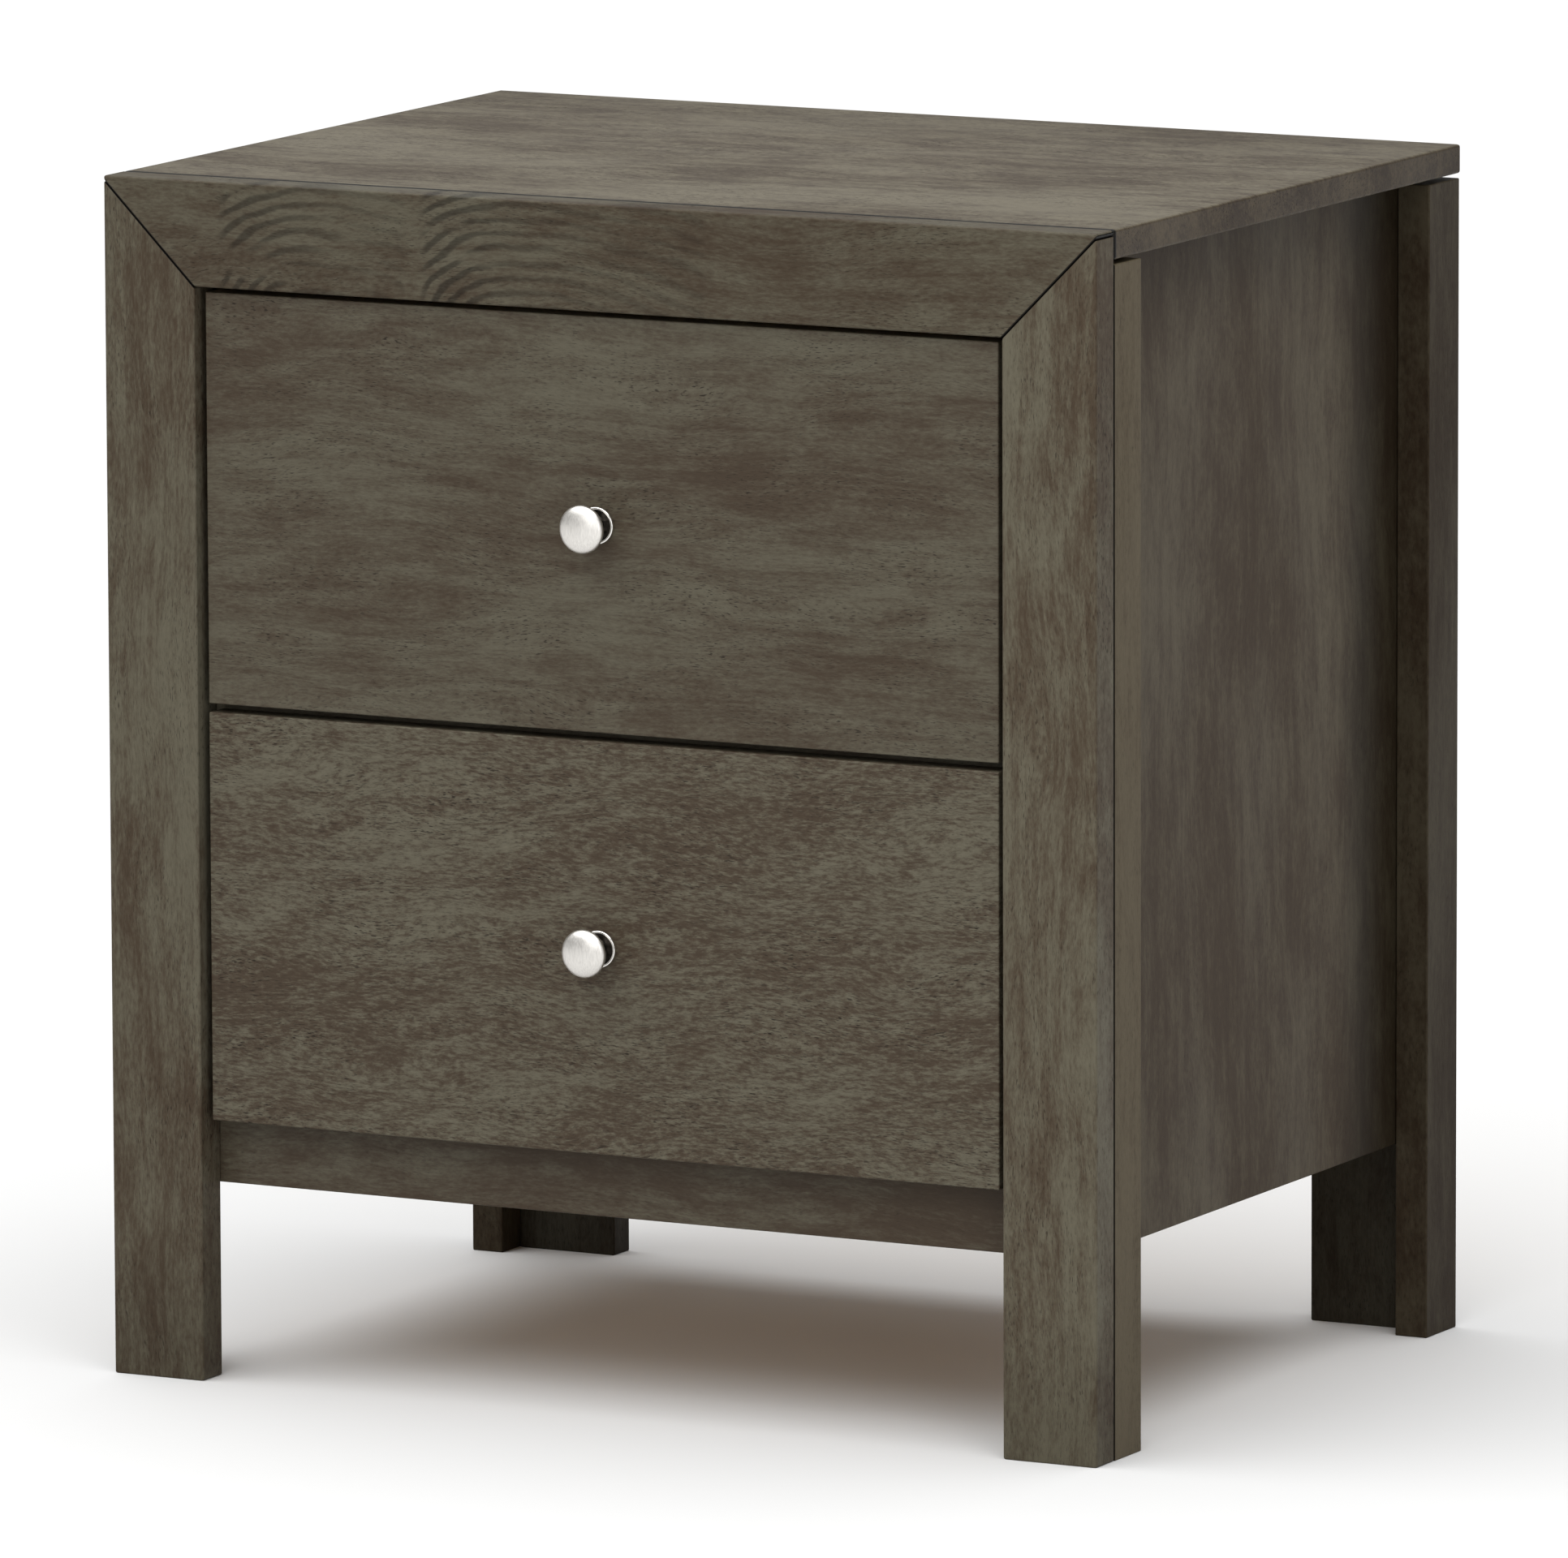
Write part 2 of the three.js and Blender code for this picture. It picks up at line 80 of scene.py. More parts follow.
# ---------------------------------------------------------------- studio
FLOOR_SIZE = 3000
FLOOR_WHITE = 0.6
FLOOR_ROUGHNESS = 0.9
FLOOR_GLOSS = 0.1
SKY = (1.0, 1.0, 0.99)
SKY_STRENGTH = 0.45
SKY_SEEN = 1.0  # so that the backdrop above the floor is as white as the floor
OVERHEAD = 4.2  # strength of the soft overhead sun
OVERHEAD_SPREAD = math.radians(90)
OVERHEAD_TURN = (math.radians(12), math.radians(-6), 0)
FRONT_BOX = {"place": (0.4, -2.6, 1.3), "target": (0.1, 0, 0.3), "size": (2.0, 1.6), "power": 13}
RIGHT_BOX = {"place": (1.3, -1.3, 0.8), "target": (0.28, -0.18, 0.3), "size": (0.5, 1.0), "power": 4}


def soft_box(name, place, target, size, power):
    """A white rectangular light at `place` that faces `target`. The camera doesn't see it."""
    data = bpy.data.lights.new(name, "AREA")
    data.shape = "RECTANGLE"
    data.size, data.size_y = size
    data.energy = power
    light = bpy.data.objects.new(name, data)
    scene.collection.objects.link(light)
    light.location = place
    light.rotation_euler = (Vector(target) - Vector(place)).to_track_quat("-Z", "Y").to_euler()
    light.visible_camera = False


def make_studio():
    world = bpy.data.worlds.new("studio")
    world.use_nodes = True
    background = world.node_tree.nodes["Background"]
    background.inputs["Color"].default_value = (*SKY, 1)
    seen = add(world.node_tree, "ShaderNodeLightPath").outputs["Is Camera Ray"]
    strength = fade(world.node_tree, seen, 0, 1, SKY_STRENGTH, SKY_SEEN)
    world.node_tree.links.new(strength, background.inputs["Strength"])
    scene.world = world
    scene.view_settings.view_transform = "Standard"

    sun_data = bpy.data.lights.new("overhead", "SUN")
    sun_data.energy = OVERHEAD
    sun_data.angle = OVERHEAD_SPREAD
    sun = bpy.data.objects.new("overhead", sun_data)
    scene.collection.objects.link(sun)
    sun.rotation_euler = OVERHEAD_TURN

    soft_box("front_box", **FRONT_BOX)
    soft_box("right_box", **RIGHT_BOX)

    mesh = bpy.data.meshes.new("floor")
    half = FLOOR_SIZE / 2
    corners = [(-half, -half, 0), (half, -half, 0), (half, half, 0), (-half, half, 0)]
    mesh.from_pydata(corners, [], [(0, 1, 2, 3)])
    floor = bpy.data.objects.new("floor", mesh)
    scene.collection.objects.link(floor)
    paint = bpy.data.materials.new("floor")
    paint.use_nodes = True
    shader = paint.node_tree.nodes["Principled BSDF"]
    shader.inputs["Base Color"].default_value = (FLOOR_WHITE,) * 3 + (1,)
    shader.inputs["Roughness"].default_value = FLOOR_ROUGHNESS
    shader.inputs["Specular IOR Level"].default_value = FLOOR_GLOSS
    mesh.materials.append(paint)


# ---------------------------------------------------------------- shader building blocks
def add(tree, kind, inputs=None, **settings):
    """A new node. Each input takes a number, a colour or another node's output."""
    node = tree.nodes.new(kind)
    for key, value in settings.items():
        setattr(node, key, value)
    for key, value in (inputs or {}).items():
        if isinstance(value, bpy.types.NodeSocket):
            tree.links.new(value, node.inputs[key])
        else:
            node.inputs[key].default_value = value
    return node


def calc(tree, operation, *values, clamp=False):
    inputs = dict(enumerate(values))
    return add(tree, "ShaderNodeMath", inputs, operation=operation, use_clamp=clamp).outputs[0]


def calc_vector(tree, operation, *values):
    return add(tree, "ShaderNodeVectorMath", dict(enumerate(values)), operation=operation).outputs[0]


def fade(tree, value, start, end, low=0.0, high=1.0):
    """Goes smoothly from low to high as value goes from start to end."""
    inputs = {0: value, 1: start, 2: end, 3: low, 4: high}
    return add(tree, "ShaderNodeMapRange", inputs, interpolation_type="SMOOTHSTEP").outputs[0]


def noise(tree, place, size, detail=2.0, roughness=0.5):
    """Soft noise whose lumps are about `size` millimetres along each axis of `place`."""
    scaled = calc_vector(tree, "DIVIDE", place, size)
    inputs = {"Vector": scaled, "Scale": 1.0, "Detail": detail, "Roughness": roughness}
    return add(tree, "ShaderNodeTexNoise", inputs).outputs[0]


def centred_noise(tree, place, size, detail=2.0, roughness=0.5):
    return calc(tree, "SUBTRACT", noise(tree, place, size, detail, roughness), 0.5)


def weighted(tree, *parts):
    """The sum of (value, weight) pairs."""
    total = 0.0
    for value, weight in parts:
        total = calc(tree, "ADD", total, calc(tree, "MULTIPLY", value, weight))
    return total


def grey(tree, tone):
    return add(tree, "ShaderNodeCombineColor", {0: tone, 1: tone, 2: tone}).outputs[0]


def in_millimetres(tree):
    own = add(tree, "ShaderNodeTexCoord").outputs["Object"]
    return calc_vector(tree, "MULTIPLY", own, (1000, 1000, 1000))


def blend_colour(tree, factor, first, second, kind="MIX"):
    inputs = {0: factor, 6: first, 7: second}
    return add(tree, "ShaderNodeMix", inputs, data_type="RGBA", blend_type=kind).outputs[2]


def srgb(*values):
    """A colour given as 0 to 255 display values, as the shader's linear colour."""
    linear = [v / 255 / 12.92 if v <= 10 else ((v / 255 + 0.055) / 1.055) ** 2.4 for v in values]
    return (*linear, 1.0)


def new_group(name, inputs, outputs):
    tree = bpy.data.node_groups.new(name, "ShaderNodeTree")
    for kind, label in inputs:
        tree.interface.new_socket(label, in_out="INPUT", socket_type=kind)
    for kind, label in outputs:
        tree.interface.new_socket(label, in_out="OUTPUT", socket_type=kind)
    return tree, tree.nodes.new("NodeGroupInput"), tree.nodes.new("NodeGroupOutput")


# ---------------------------------------------------------------- wood
VECTOR, COLOUR, NUMBER = "NodeSocketVector", "NodeSocketColor", "NodeSocketFloat"


def make_wood_group():
    """Wood with its grain along X of `Place`, in millimetres. Pores and streaks run along the grain."""
    inputs = [
        (VECTOR, "Place"), (COLOUR, "Warm"), (COLOUR, "Cool"), (COLOUR, "Pore"), (NUMBER, "Slope"),
        (NUMBER, "Warmth"), (NUMBER, "Contrast"), (NUMBER, "Strokes"), (NUMBER, "Pores"),
    ]
    outputs = [(COLOUR, "Color"), (NUMBER, "Roughness"), (NUMBER, "Height")]
    tree, given, result = new_group("wood", inputs, outputs)
    place, contrast = given.outputs["Place"], given.outputs["Contrast"]

    # The grain wanders a little across the board, and the clouds of stain slope across it.
    drift = calc(tree, "MULTIPLY", centred_noise(tree, place, (150, 45, 60), 2), 24.0)
    flowing = calc_vector(tree, "ADD", place, add(tree, "ShaderNodeCombineXYZ", {1: drift}).outputs[0])
    along = add(tree, "ShaderNodeSeparateXYZ", {0: place}).outputs[0]
    lean = calc(tree, "MULTIPLY", along, given.outputs["Slope"])
    leaning = calc_vector(tree, "ADD", flowing, add(tree, "ShaderNodeCombineXYZ", {1: lean}).outputs[0])

    broad = centred_noise(tree, leaning, (210, 62, 60), 1)
    patch = centred_noise(tree, leaning, (32, 9, 18), 3, 0.6)
    stroke = centred_noise(tree, flowing, (4.8, 1.3, 2.5), 3, 0.65)
    stroke = calc(tree, "MULTIPLY", stroke, given.outputs["Strokes"])
    streak = centred_noise(tree, flowing, (75, 3.4, 6), 3, 0.6)
    fibre = centred_noise(tree, flowing, (3.2, 0.5, 0.9), 2, 0.6)

    # How much each size of figure warms the colour, then how much it lightens or darkens it.
    cloud = weighted(tree, (broad, 0.4), (patch, 0.42), (stroke, 0.36), (streak, 0.24))
    cloud = calc(tree, "ADD", calc(tree, "MULTIPLY", cloud, contrast), given.outputs["Warmth"])
    warm_share = fade(tree, cloud, -0.17, 0.17)
    colour = blend_colour(tree, warm_share, given.outputs["Cool"], given.outputs["Warm"])

    tone = weighted(tree, (broad, -0.12), (patch, -0.14), (stroke, -0.32), (streak, -0.2), (fibre, 0.22))
    tone = calc(tree, "ADD", calc(tree, "MULTIPLY", tone, contrast), 1.0)
    colour = blend_colour(tree, 1.0, colour, grey(tree, tone), "MULTIPLY")

    speck = noise(tree, flowing, (3.6, 0.55, 1.0), 1, 0.5)
    dense = fade(tree, centred_noise(tree, flowing, (60, 22, 30), 2), -0.15, 0.15, 0.2, 1.0)
    pore = calc(tree, "MULTIPLY", fade(tree, speck, 0.58, 0.72), dense)
    pore = calc(tree, "MULTIPLY", pore, given.outputs["Pores"], clamp=True)
    colour = blend_colour(tree, pore, colour, given.outputs["Pore"])

    rough = calc(tree, "ADD", fade(tree, broad, -0.2, 0.2, 0.42, 0.5), calc(tree, "MULTIPLY", pore, 0.2))
    height = calc(tree, "SUBTRACT", calc(tree, "MULTIPLY", fibre, 0.4), pore)
    tree.links.new(colour, result.inputs["Color"])
    tree.links.new(rough, result.inputs["Roughness"])
    tree.links.new(height, result.inputs["Height"])
    return tree


SEED_STEP = (417.0, 263.0, 151.0)  # mm between the figures of two boards whose seeds differ by one


def board_place(tree, order, seed, spread):
    """Object coordinates in millimetres, reordered so that the first runs along the board's grain.

    The figure is `spread` times wider across the grain.
    """
    own = add(tree, "ShaderNodeTexCoord").outputs["Object"]
    split = add(tree, "ShaderNodeSeparateXYZ", {0: own}).outputs
    joined = add(tree, "ShaderNodeCombineXYZ", {i: split["XYZ".index(a)] for i, a in enumerate(order)})
    shift = tuple(step * seed for step in SEED_STEP)
    inputs = {"Vector": joined.outputs[0], "Scale": (1000, 1000 / spread, 1000), "Location": shift}
    return add(tree, "ShaderNodeMapping", inputs).outputs[0]


def principled(tree, **inputs):
    shader = add(tree, "ShaderNodeBsdfPrincipled", {k.replace("_", " "): v for k, v in inputs.items()})
    out = tree.nodes.new("ShaderNodeOutputMaterial")
    tree.links.new(shader.outputs[0], out.inputs[0])
    return shader


def new_material(name):
    material = bpy.data.materials.new(name)
    material.use_nodes = True
    material.node_tree.nodes.clear()
    return material, material.node_tree


STAIN = {"Warm": srgb(59, 49, 38), "Cool": srgb(78, 74, 62), "Pore": srgb(30, 24, 17)}
SIDE_STAIN = {"Warm": srgb(61, 49, 36), "Cool": srgb(80, 72, 57), "Pore": srgb(30, 24, 17)}
TOP_STAIN = {"Warm": srgb(60, 51, 40), "Cool": srgb(88, 82, 68), "Pore": srgb(40, 33, 25)}
PALE = {"Warm": srgb(190, 152, 106), "Cool": srgb(206, 174, 130), "Pore": srgb(146, 106, 68)}
PLY = {"Warm": srgb(176, 140, 98), "Cool": srgb(194, 161, 118), "Pore": srgb(124, 90, 58)}
wood_group = make_wood_group()


# `light` scales a wood's colours; dress_case also uses it to paint light and shade onto single pieces.
def wood(name, tones, order, seed, light=1.0, gloss=0.16, slope=0.0, warmth=0.0, contrast=1.0,
         strokes=1.0, pores=0.7, spread=1.0, arches=(), shades=(), seams=(), mitre=False):
    """A wood material. `order` names the axes along, across and through the board."""
    material, tree = new_material(name)
    group = tree.nodes.new("ShaderNodeGroup")
    group.node_tree = wood_group
    numbers = {
        "Slope": slope, "Warmth": warmth, "Contrast": contrast, "Strokes": strokes, "Pores": pores,
    }
    colours = {key: (*(part * light for part in tone[:3]), 1) for key, tone in tones.items()}
    for key, value in {**numbers, **colours}.items():
        group.inputs[key].default_value = value
    tree.links.new(board_place(tree, order, seed, spread), group.inputs["Place"])
    colour = group.outputs["Color"]
    masks = [arch_strokes(tree, *arch) for arch in arches]
    masks += [shade_along(tree, *shade) for shade in shades]
    masks += [seam_line(tree, *seam) for seam in seams]
    if mitre:
        masks.append(mitre_line(tree))
    for mask in masks:
        colour = blend_colour(tree, 1.0, colour, mask, "MULTIPLY")
    relief = {"Height": group.outputs["Height"], "Strength": 0.2, "Distance": 0.3 * MM}
    bump = add(tree, "ShaderNodeBump", relief)
    principled(tree, Base_Color=colour, Roughness=group.outputs["Roughness"], Normal=bump.outputs[0],
               Specular_IOR_Level=gloss)
    return material


def shade_along(tree, axis, start, end, darkest, ragged=20.0):
    """A tint that goes from white at `start` to `darkest`, a colour, at `end`, in millimetres.

    Its edge wanders by up to about half of `ragged`.
    """
    place = in_millimetres(tree)
    shift = calc(tree, "MULTIPLY", centred_noise(tree, place, (40, 40, 60), 2), ragged)
    here = add(tree, "ShaderNodeSeparateXYZ", {0: place}).outputs["XYZ".index(axis)]
    reach = fade(tree, calc(tree, "ADD", here, shift), start, end)
    return blend_colour(tree, reach, (1, 1, 1, 1), (*darkest, 1))


SEAM_DARK = 0.05
# How far |X| - Z is from MITRE_LEVEL, in mm, where the dark line starts to fade and where it ends
MITRE_CORE, MITRE_EDGE = 0.7, 1.3


def seam_line(tree, axis, middle, half_width):
    """The dark line where stain has gathered in a joint that crosses one axis, in millimetres."""
    here = add(tree, "ShaderNodeSeparateXYZ", {0: in_millimetres(tree)}).outputs["XYZ".index(axis)]
    away = calc(tree, "ABSOLUTE", calc(tree, "SUBTRACT", here, middle))
    return grey(tree, fade(tree, away, half_width * 0.5, half_width, SEAM_DARK, 1.0))


def mitre_line(tree):
    """The same along the face frame's two mitres, which run at 45 degrees to its inner corners."""
    x, _, z = add(tree, "ShaderNodeSeparateXYZ", {0: in_millimetres(tree)}).outputs
    level = calc(tree, "SUBTRACT", calc(tree, "ABSOLUTE", x), z)
    away = calc(tree, "ABSOLUTE", calc(tree, "SUBTRACT", level, MITRE_LEVEL))
    return grey(tree, fade(tree, away, MITRE_CORE, MITRE_EDGE, SEAM_DARK, 1.0))


ARCH_FADE_IN, ARCH_FADE_OUT = 10, 5  # mm, at an arch's two ends


def arch_strokes(tree, centre, left, right, high, rings, first, last, darkest):
    """Broken dark strokes along nested arches on the X-Z plane, in millimetres.

    The arches are ellipses round `centre`, `left` and `right` wide on its two sides and `high` high,
    with `rings` strokes in each such size. They show from X = `first` to X = `last`.
    """
    place = in_millimetres(tree)
    x, _, z = add(tree, "ShaderNodeSeparateXYZ", {0: place}).outputs
    offset = calc(tree, "SUBTRACT", x, centre[0])
    to_left = calc(tree, "DIVIDE", calc(tree, "MINIMUM", offset, 0.0), left)
    to_right = calc(tree, "DIVIDE", calc(tree, "MAXIMUM", offset, 0.0), right)
    across = calc(tree, "ADD", to_left, to_right)
    up = calc(tree, "DIVIDE", calc(tree, "SUBTRACT", z, centre[1]), high)
    squared = calc(tree, "ADD", calc(tree, "MULTIPLY", across, across), calc(tree, "MULTIPLY", up, up))
    wobble = calc(tree, "MULTIPLY", centred_noise(tree, place, (34, 34, 14), 2), 0.12)
    turns = calc(tree, "MULTIPLY", calc(tree, "ADD", calc(tree, "SQRT", squared), wobble), rings)
    wave = calc(tree, "SINE", calc(tree, "MULTIPLY", turns, 2 * math.pi))
    band = fade(tree, wave, -0.65, 0.95)  # one soft stroke a ring
    broken = fade(tree, centred_noise(tree, place, (44, 44, 9), 2), -0.2, -0.02, 0.12, 1.0)
    starts = fade(tree, x, first, first + ARCH_FADE_IN)
    stops = fade(tree, x, last - ARCH_FADE_OUT, last, 1.0, 0.0)
    ends = calc(tree, "MULTIPLY", starts, stops)
    flank = fade(tree, across, -0.7, 0.35, 1.0, 0.42)  # darker on the left flank
    seen = calc(tree, "MULTIPLY", band, broken)
    seen = calc(tree, "MULTIPLY", seen, calc(tree, "MULTIPLY", ends, flank))
    return grey(tree, fade(tree, seen, 0.0, 1.0, 1.0, darkest))


# ---------------------------------------------------------------- the boards
EDGE_ROUND = 0.8 * MM
FRAME_ROUND = 1.2 * MM
TOP_ROUND = 1.5 * MM
BOX_ROUND = 0.3 * MM
STEEL_ROUND = 0.25 * MM
WELD = 0.01 * MM
ROUND_STEPS = 3
SHARP = math.radians(40)  # edges sharper than this are rounded


def ease_edges(node, width):
    """Rounds a CAD board's edges with modifiers; its mesh stays as it is."""
    weld = node.modifiers.new("weld", "WELD")
    weld.merge_threshold = WELD
    bevel = node.modifiers.new("ease", "BEVEL")
    bevel.width = width
    bevel.segments = ROUND_STEPS
    bevel.limit_method = "ANGLE"
    bevel.angle_limit = SHARP
    node.modifiers.new("normals", "WEIGHTED_NORMAL")


def dress(node_name, material, width=EDGE_ROUND):
    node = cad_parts[node_name]
    node.data.materials.clear()
    node.data.materials.append(material)
    ease_edges(node, width)


RAIL_ARCHES = (  # what arch_strokes takes
    ((-160, 540), 66, 118, 60, 8.2, -217, -104, 0.52),
    ((-46, 532), 70, 172, 68, 9.4, -101, 66, 0.48),
)
MITRE_LEVEL = -334  # |X| - Z along both mitres, in mm
FRAME_SEAM = -181.1  # Y of the joint behind the face frame, in mm
# What shade_along takes: the axis, where the colour starts to darken, where it is darkest, its tint
# Painted shade: the side panels darken towards their rear edge, by the rear posts.
REAR_SHADE = ("Y", 100, 150, (0.42, 0.42, 0.4))
# Painted shade: the side panels darken just under the top's overhang.
UNDER_TOP_SHADE = ("Z", 540, 596, (0.72, 0.7, 0.66))
# The stiles get darker towards their feet.
FOOT_DARKENING = ("Z", 90, 10, (0.78, 0.77, 0.75))
# Painted shade: the top darkens towards its back, so its front looks lit brighter.
TOP_BACK_SHADE = ("Y", 60, 215, (0.8, 0.78, 0.74))
TOP_EDGE_TINT = (0.53, 0.45, 0.37)  # stain soaked into the cut edges
TOP_EDGE_SHADES = [("X", side * 279.2, side * 279.9, TOP_EDGE_TINT, 0) for side in (-1, 1)]
# What seam_line takes: the axis, the joint's place and the line's half width
SIDE_SEAM = ("Y", FRAME_SEAM, 1.0)
TOP_SEAM = ("Y", FRAME_SEAM, 3.0)


def dress_case():
    dress("face_frame_top_rail", wood(
        "stain_top_rail", STAIN, "XZY", 1, light=1.0, gloss=0.1, warmth=-0.01, arches=RAIL_ARCHES,
        seams=[TOP_SEAM], mitre=True), FRAME_ROUND)
    for number, side in enumerate(SIDES):
        seed = 2 + 3 * number
        # Painted light: the right stile is made 0.08 lighter than the left, for the light from the right
        # front.
        dress(f"face_frame_{side}_stile", wood(
            f"stain_{side}_stile", STAIN, "ZXY", seed, light=1.1 + 0.08 * number, gloss=0.1,
            warmth=-0.03, contrast=1.1, shades=[FOOT_DARKENING], seams=[SIDE_SEAM], mitre=True), FRAME_ROUND)
        dress(f"front_{side}_post", wood(
            f"stain_front_{side}_post", SIDE_STAIN, "ZYX", seed + 0.3, light=1.06, gloss=0.06,
            warmth=-0.13, pores=0.4, seams=[SIDE_SEAM]))
        # Painted shade: the rear posts and leg boards are made darker (0.5 and 0.4) as the back of the
        # case falls into shade.
        dress(f"rear_{side}_post", wood(
            f"stain_rear_{side}_post", SIDE_STAIN, "ZYX", seed + 0.6, light=0.5, gloss=0.05, pores=0.4))
        dress(f"rear_{side}_leg_back_board", wood(
            f"stain_{side}_leg_board", STAIN, "ZXY", seed + 0.8, light=0.4, gloss=0.05))
        # Painted shade on the side panels: darker towards the rear posts and under the top's overhang.
        dress(f"{side}_side_panel", wood(
            f"stain_{side}_side", SIDE_STAIN, "ZYX", seed + 1.4, light=0.82, gloss=0.1, warmth=0.02,
            slope=0.06, contrast=1.1, strokes=0.8, pores=0.3, spread=1.3,
            shades=[REAR_SHADE, UNDER_TOP_SHADE]))
    # Painted shade: TOP_BACK_SHADE darkens the top towards its back.
    dress("top_panel", wood(
        "stain_top", TOP_STAIN, "XYZ", 9.4, light=1.08, warmth=-0.02, contrast=1.25, strokes=1.1,
        pores=0.8, spread=1.5, shades=[TOP_BACK_SHADE, *TOP_EDGE_SHADES], seams=[TOP_SEAM]), TOP_ROUND)
    dress("front_apron", wood("stain_apron", STAIN, "XZY", 10, warmth=0.08, pores=0.4))
    dress("drawer_divider_rail", wood("stain_divider", STAIN, "XZY", 11))
    # Painted light: the lower drawer front is made lighter than the upper (1.09 against 1.0), for light
    # bounced up from the floor.
    dress("upper_drawer_front", wood(
        "stain_upper_drawer", STAIN, "XZY", 12, light=1.0, slope=-0.05, pores=0.9))
    dress("lower_drawer_front", wood(
        "stain_lower_drawer", STAIN, "XZY", 13.2, light=1.09, slope=-0.22, strokes=2.4, pores=1.0))

    dress("back_panel", wood("ply_back", PLY, "ZXY", 14, pores=0.5))
    dress("rear_bottom_rail", wood("pine_rear_rail", PLY, "XZY", 15))
    dress("bottom_dust_panel", wood("ply_dust", PLY, "XYZ", 16))
    dress("top_front_stretcher", wood("pine_front_stretcher", PLY, "XZY", 17))
    dress("top_rear_stretcher", wood("pine_rear_stretcher", PLY, "XZY", 18))
    block_wood = wood("pine_blocks", PLY, "ZXY", 19)
    for end in ("front", "rear"):
        for side in SIDES:
            dress(f"{end}_{side}_glue_block", block_wood)


def dress_drawers(steel):
    cleat_wood = wood("pine_cleats", PLY, "YZX", 20)
    for number, drawer in enumerate(DRAWERS):
        seed = 22 + 5 * number
        along = wood(f"pale_{drawer}_sides", PALE, "YZX", seed, pores=0.35)
        across = wood(f"pale_{drawer}_ends", PALE, "XZY", seed + 1.3, pores=0.35)
        bottom = wood(f"ply_{drawer}_bottom", PLY, "XYZ", seed + 2.6, pores=0.3)
        for side in SIDES:
            dress(f"{drawer}_drawer_{side}_side", along, BOX_ROUND)
            dress(f"{drawer}_{side}_slide_cleat", cleat_wood)
            for member in ("case", "middle", "drawer"):
                dress(f"{drawer}_{side}_slide_{member}_member", steel, STEEL_ROUND)
        for end in ("front", "back"):
            dress(f"{drawer}_drawer_box_{end}", across, BOX_ROUND)
        dress(f"{drawer}_drawer_bottom", bottom, BOX_ROUND)


# ---------------------------------------------------------------- metals
def zinc_steel():
    material, tree = new_material("zinc_steel")
    place = board_place(tree, "YZX", 3, 1)
    brushed = noise(tree, place, (40, 0.6, 0.6), 2)
    cloudy = noise(tree, place, (18, 18, 18), 3)
    colour = blend_colour(tree, fade(tree, cloudy, 0.3, 0.7), srgb(176, 180, 184), srgb(206, 208, 210))
    rough = fade(tree, brushed, 0.3, 0.7, 0.26, 0.36)
    rough = calc(tree, "ADD", rough, fade(tree, cloudy, 0.3, 0.7, 0.0, 0.08))
    principled(tree, Base_Color=colour, Metallic=1.0, Roughness=rough)
    return material


def satin_nickel():
    """Nickel with a fine grain along Z, as if brushed up and down."""
    material, tree = new_material("satin_nickel")
    place = in_millimetres(tree)
    grain = noise(tree, place, (0.35, 0.35, 6), 2, 0.7)
    cloudy = noise(tree, place, (7, 7, 7), 2)
    colour = blend_colour(tree, fade(tree, grain, 0.3, 0.7), srgb(206, 203, 198), srgb(226, 223, 218))
    rough = fade(tree, grain, 0.3, 0.7, 0.3, 0.38)
    rough = calc(tree, "ADD", rough, fade(tree, cloudy, 0.3, 0.7, 0.0, 0.05))
    bump = add(tree, "ShaderNodeBump", {"Height": grain, "Strength": 0.12, "Distance": 0.1 * MM})
    principled(tree, Base_Color=colour, Metallic=1.0, Roughness=rough, Normal=bump.outputs[0])
    return material


def polished_nickel():
    material, tree = new_material("polished_nickel")
    smudge = noise(tree, in_millimetres(tree), (3, 3, 3), 3)
    colour = blend_colour(tree, fade(tree, smudge, 0.3, 0.7), srgb(222, 220, 216), srgb(236, 234, 230))
    rough = fade(tree, smudge, 0.3, 0.7, 0.05, 0.12)
    principled(tree, Base_Color=colour, Metallic=1.0, Roughness=rough)
    return material


def painted_shade_nickel():
    """Dark nickel for the rosette's recess round the neck: painted shade."""
    material, tree = new_material("painted_shade_nickel")
    mottled = noise(tree, in_millimetres(tree), (2, 2, 2), 2)
    colour = blend_colour(tree, fade(tree, mottled, 0.3, 0.7), srgb(50, 47, 44), srgb(70, 66, 62))
    rough = fade(tree, mottled, 0.3, 0.7, 0.16, 0.26)
    principled(tree, Base_Color=colour, Metallic=1.0, Roughness=rough)
    return material


# ---------------------------------------------------------------- knobs
# In millimetres. The values named OUT are distances out from the drawer front.
KNOB_ROUND = 96
KNOB_BASE_RADIUS = 9.5
KNOB_BASE_THICK = 2.0
KNOB_NECK_RADIUS = 4.3
KNOB_HEAD_RADIUS = 12.2
KNOB_BORE = 2.4
KNOB_BEAD = 0.75  # radius of the rosette's rounded rim
KNOB_BEAD_STEPS = 8
KNOB_RECESS_OUT = 0.5  # floor of the recess round the neck
KNOB_RECESS_STEPS = range(11, 16)  # the steps of the rosette's profile that take the dark nickel, painted shade
KNOB_SEAT = 0.3  # gap between the rosette and the neck
KNOB_SOCKET_OUT = 11.7  # end of the screw's hole in the head
KNOB_NECK_OUT = 10.5  # where the neck starts to widen into the head
KNOB_UNDER_OUT = 16.1  # underside of the head at its rim
KNOB_RIM_OUT = 17.0
KNOB_TOP_OUT = 21.6
KNOB_DOME_STEPS = 20
KNOB_SHARP = math.radians(35)


def arc(start, end, steps=12):
    """A quarter of an ellipse between two (radius, out) points. It leaves the first straight out."""
    (r0, out0), (r1, out1) = start, end
    turns = [step / steps * math.pi / 2 for step in range(steps + 1)]
    return [(r1 + (r0 - r1) * math.cos(t), out0 + (out1 - out0) * math.sin(t)) for t in turns]


